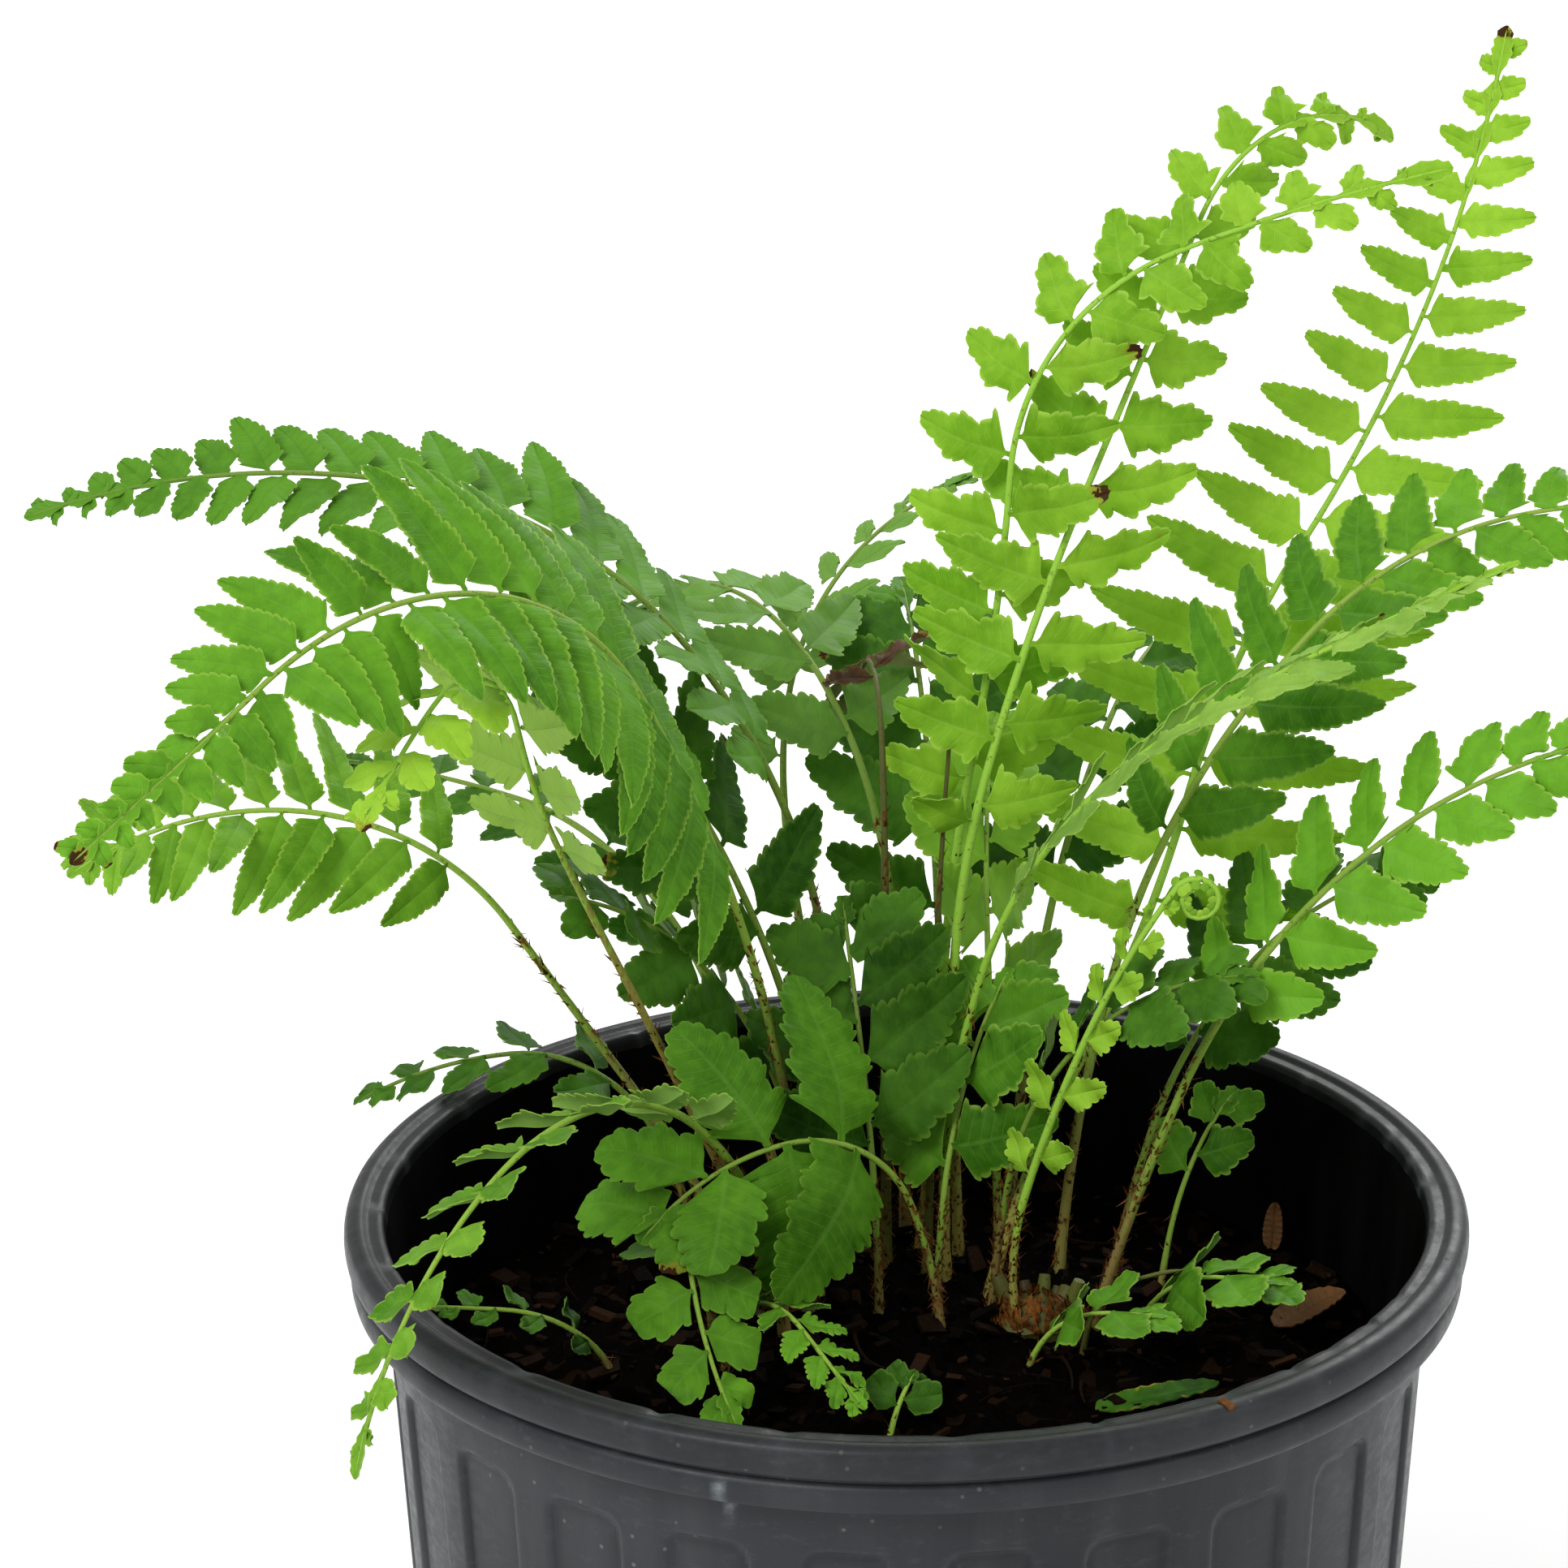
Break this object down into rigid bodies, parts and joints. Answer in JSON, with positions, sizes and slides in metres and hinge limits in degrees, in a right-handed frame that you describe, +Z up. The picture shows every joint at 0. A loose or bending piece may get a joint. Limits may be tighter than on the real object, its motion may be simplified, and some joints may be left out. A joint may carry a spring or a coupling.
{
  "type": "potted fern",
  "caption": "Fern with long feather-shaped fronds arching to the left and right out of a round black nursery can with a double-bead rim and panelled wall, filled with dark soil.",
  "frame": {"origin": "middle of the pot's flat base", "axes": "+Z up along the pot's axis, +X to the right in the picture, +Y away from the viewer in the picture; -Z points out of the base"},
  "size_m": [0.4114, 0.3671, 0.5003],
  "materials": {
    "pot_plastic": "black-grey blow-moulded plastic, semi-matt, scuffed and dusty",
    "soil": "dark damp potting mix with bark bits",
    "crown": "rough orange-brown scales",
    "leaf_bright": "fresh yellow-green leaf with a soft sheen",
    "leaf_fresh": "light green leaf with paler margins",
    "leaf_green": "mid green leaf with yellow-green margins",
    "leaf_dark": "dark green leaf, slightly leathery",
    "dead": "dry brown leaf and stalk"
  },
  "bodies": {
    "root": {"chip_upright": "dead", "crown_left": "crown", "crown_right": "crown", "frond_back_far": "leaf_dark", "frond_back_left": "leaf_dark", "frond_back_low_left": "leaf_dark", "frond_back_right": "leaf_dark", "frond_coiled": "leaf_bright", "frond_dead": "dead", "frond_front_broad": "leaf_green", "frond_front_fine": "leaf_fresh", "frond_front_round": "leaf_fresh", "frond_left_behind": "leaf_dark", "frond_left_big": "leaf_green", "frond_left_bright": "leaf_bright", "frond_left_inner": "leaf_dark", "frond_left_low": "leaf_fresh", "frond_middle_back": "leaf_dark", "frond_middle_front": "leaf_dark", "frond_middle_left": "leaf_dark", "frond_middle_low": "leaf_green", "frond_middle_pale": "leaf_fresh", "frond_middle_right": "leaf_dark", "frond_over_rim": "leaf_fresh", "frond_right_arching": "leaf_green", "frond_right_dark": "leaf_dark", "frond_right_edge_on": "leaf_bright", "frond_right_low": "leaf_green", "frond_right_second": "leaf_bright", "frond_right_tall": "leaf_bright", "frond_right_third": "leaf_bright", "frond_rim_left": "leaf_dark", "leaf_brown": "dead", "leaf_green_fallen": "leaf_green", "leaf_soil_front": "leaf_fresh", "leaf_soil_right": "leaf_fresh", "leaf_thin_stem": "leaf_green", "pot": "pot_plastic", "soil": "soil", "stub_cut_soil": "dead", "stub_cut_tall": "dead", "weed_clover": "leaf_fresh", "weed_sprig": "leaf_green"}
  },
  "joints": []
}
